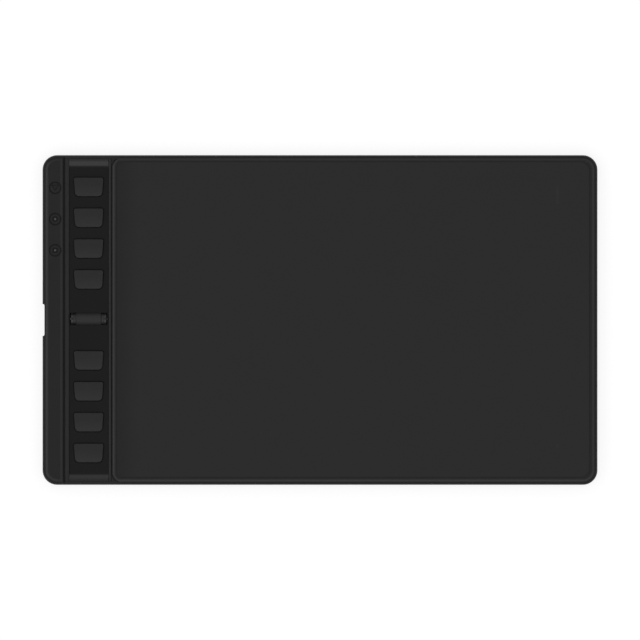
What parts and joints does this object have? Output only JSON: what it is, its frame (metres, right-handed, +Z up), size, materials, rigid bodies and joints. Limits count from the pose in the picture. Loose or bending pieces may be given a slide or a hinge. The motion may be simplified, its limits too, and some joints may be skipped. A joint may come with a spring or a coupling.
{
  "type": "graphics tablet",
  "caption": "Flat black pen tablet with a grained drawing sheet, a sunken tray of push keys and a scroll roller on the left, and a cable socket in a notch of the left edge.",
  "frame": {"origin": "on the desk under the middle of the case, at the feet's underside", "axes": "+X along the case away from the keys, +Y away from the user, +Z up out of the drawing sheet"},
  "size_m": [0.305, 0.1812, 0.009],
  "materials": {
    "case_plastic": "fine spark texture, black",
    "cover_plastic": "coarser spark texture, black",
    "drawing_film": "paper-like grained film, black",
    "tray_plastic": "satin, black",
    "key_plastic": "satin, dark grey",
    "roller_rubber": "smooth, black",
    "roller_rim": "polished, dark",
    "steel": "bright",
    "shield_metal": "mill finish",
    "foam": "closed cell, dark grey",
    "board": "solder mask, green",
    "chip": "moulded, black",
    "connector_plastic": "moulded, cream",
    "ribbon_film": "laminated, white",
    "switch_metal": "stamped cover",
    "stem_plastic": "moulded, black",
    "lens": "translucent, smoky",
    "lamp": "clear resin",
    "port_steel": "drawn, nickel plated",
    "port_plastic": "moulded, black",
    "foot_rubber": "matt, black"
  },
  "bodies": {
    "case": {"top_housing": "case_plastic", "bottom_cover": "cover_plastic", "drawing_sheet": "drawing_film", "key_tray": "tray_plastic", "key_switch_bodies": "switch_metal", "main_board": "board", "sensor_board": "board", "shield_foam": "foam", "shield_plate": "shield_metal", "roller_cradle": "tray_plastic", "encoder_housing": "chip", "usb_shell": "port_steel", "usb_tongue": "port_plastic", "mode_switch_body": "switch_metal", "indicator_lens_1": "lens", "indicator_lens_2": "lens", "indicator_lens_3": "lens", "indicator_leds": "lamp", "ribbon_cable": "ribbon_film", "ribbon_connectors": "connector_plastic", "controller_chips": "chip", "case_screws": "steel", "board_screws": "steel", "foot_front_left": "foot_rubber", "foot_front_right": "foot_rubber", "foot_rear_left": "foot_rubber", "foot_rear_right": "foot_rubber"},
    "key_1": {"key_cap_1": "key_plastic", "switch_stem_1": "stem_plastic"},
    "key_2": {"key_cap_2": "key_plastic", "switch_stem_2": "stem_plastic"},
    "key_3": {"key_cap_3": "key_plastic", "switch_stem_3": "stem_plastic"},
    "key_4": {"key_cap_4": "key_plastic", "switch_stem_4": "stem_plastic"},
    "key_5": {"key_cap_5": "key_plastic", "switch_stem_5": "stem_plastic"},
    "key_6": {"key_cap_6": "key_plastic", "switch_stem_6": "stem_plastic"},
    "key_7": {"key_cap_7": "key_plastic", "switch_stem_7": "stem_plastic"},
    "key_8": {"key_cap_8": "key_plastic", "switch_stem_8": "stem_plastic"},
    "roller": {"roller_core": "roller_rim", "roller_tyre": "roller_rubber", "roller_axle": "steel", "encoder_rotor": "stem_plastic"},
    "mode": {"mode_button": "key_plastic", "mode_switch_stem": "stem_plastic"}
  },
  "joints": [
    {"name": "key_1_press", "type": "slide", "parent": "case", "child": "key_1", "axis": [0, 0, -1], "range_m": [0, 0.0005], "stiffness_N_per_m": 1200, "springref_m": -0.0002},
    {"name": "key_2_press", "type": "slide", "parent": "case", "child": "key_2", "axis": [0, 0, -1], "range_m": [0, 0.0005], "stiffness_N_per_m": 1200, "springref_m": -0.0002},
    {"name": "key_3_press", "type": "slide", "parent": "case", "child": "key_3", "axis": [0, 0, -1], "range_m": [0, 0.0005], "stiffness_N_per_m": 1200, "springref_m": -0.0002},
    {"name": "key_4_press", "type": "slide", "parent": "case", "child": "key_4", "axis": [0, 0, -1], "range_m": [0, 0.0005], "stiffness_N_per_m": 1200, "springref_m": -0.0002},
    {"name": "key_5_press", "type": "slide", "parent": "case", "child": "key_5", "axis": [0, 0, -1], "range_m": [0, 0.0005], "stiffness_N_per_m": 1200, "springref_m": -0.0002},
    {"name": "key_6_press", "type": "slide", "parent": "case", "child": "key_6", "axis": [0, 0, -1], "range_m": [0, 0.0005], "stiffness_N_per_m": 1200, "springref_m": -0.0002},
    {"name": "key_7_press", "type": "slide", "parent": "case", "child": "key_7", "axis": [0, 0, -1], "range_m": [0, 0.0005], "stiffness_N_per_m": 1200, "springref_m": -0.0002},
    {"name": "key_8_press", "type": "slide", "parent": "case", "child": "key_8", "axis": [0, 0, -1], "range_m": [0, 0.0005], "stiffness_N_per_m": 1200, "springref_m": -0.0002},
    {"name": "roller_spin", "type": "hinge", "parent": "case", "child": "roller", "pos_m": [-0.12713, 0.0006, 0.0052], "axis": [1, 0, 0], "continuous": true},
    {"name": "mode_press", "type": "slide", "parent": "case", "child": "mode", "axis": [1, 0, 0], "range_m": [0, 0.0005], "stiffness_N_per_m": 1500, "springref_m": -0.0002}
  ]
}
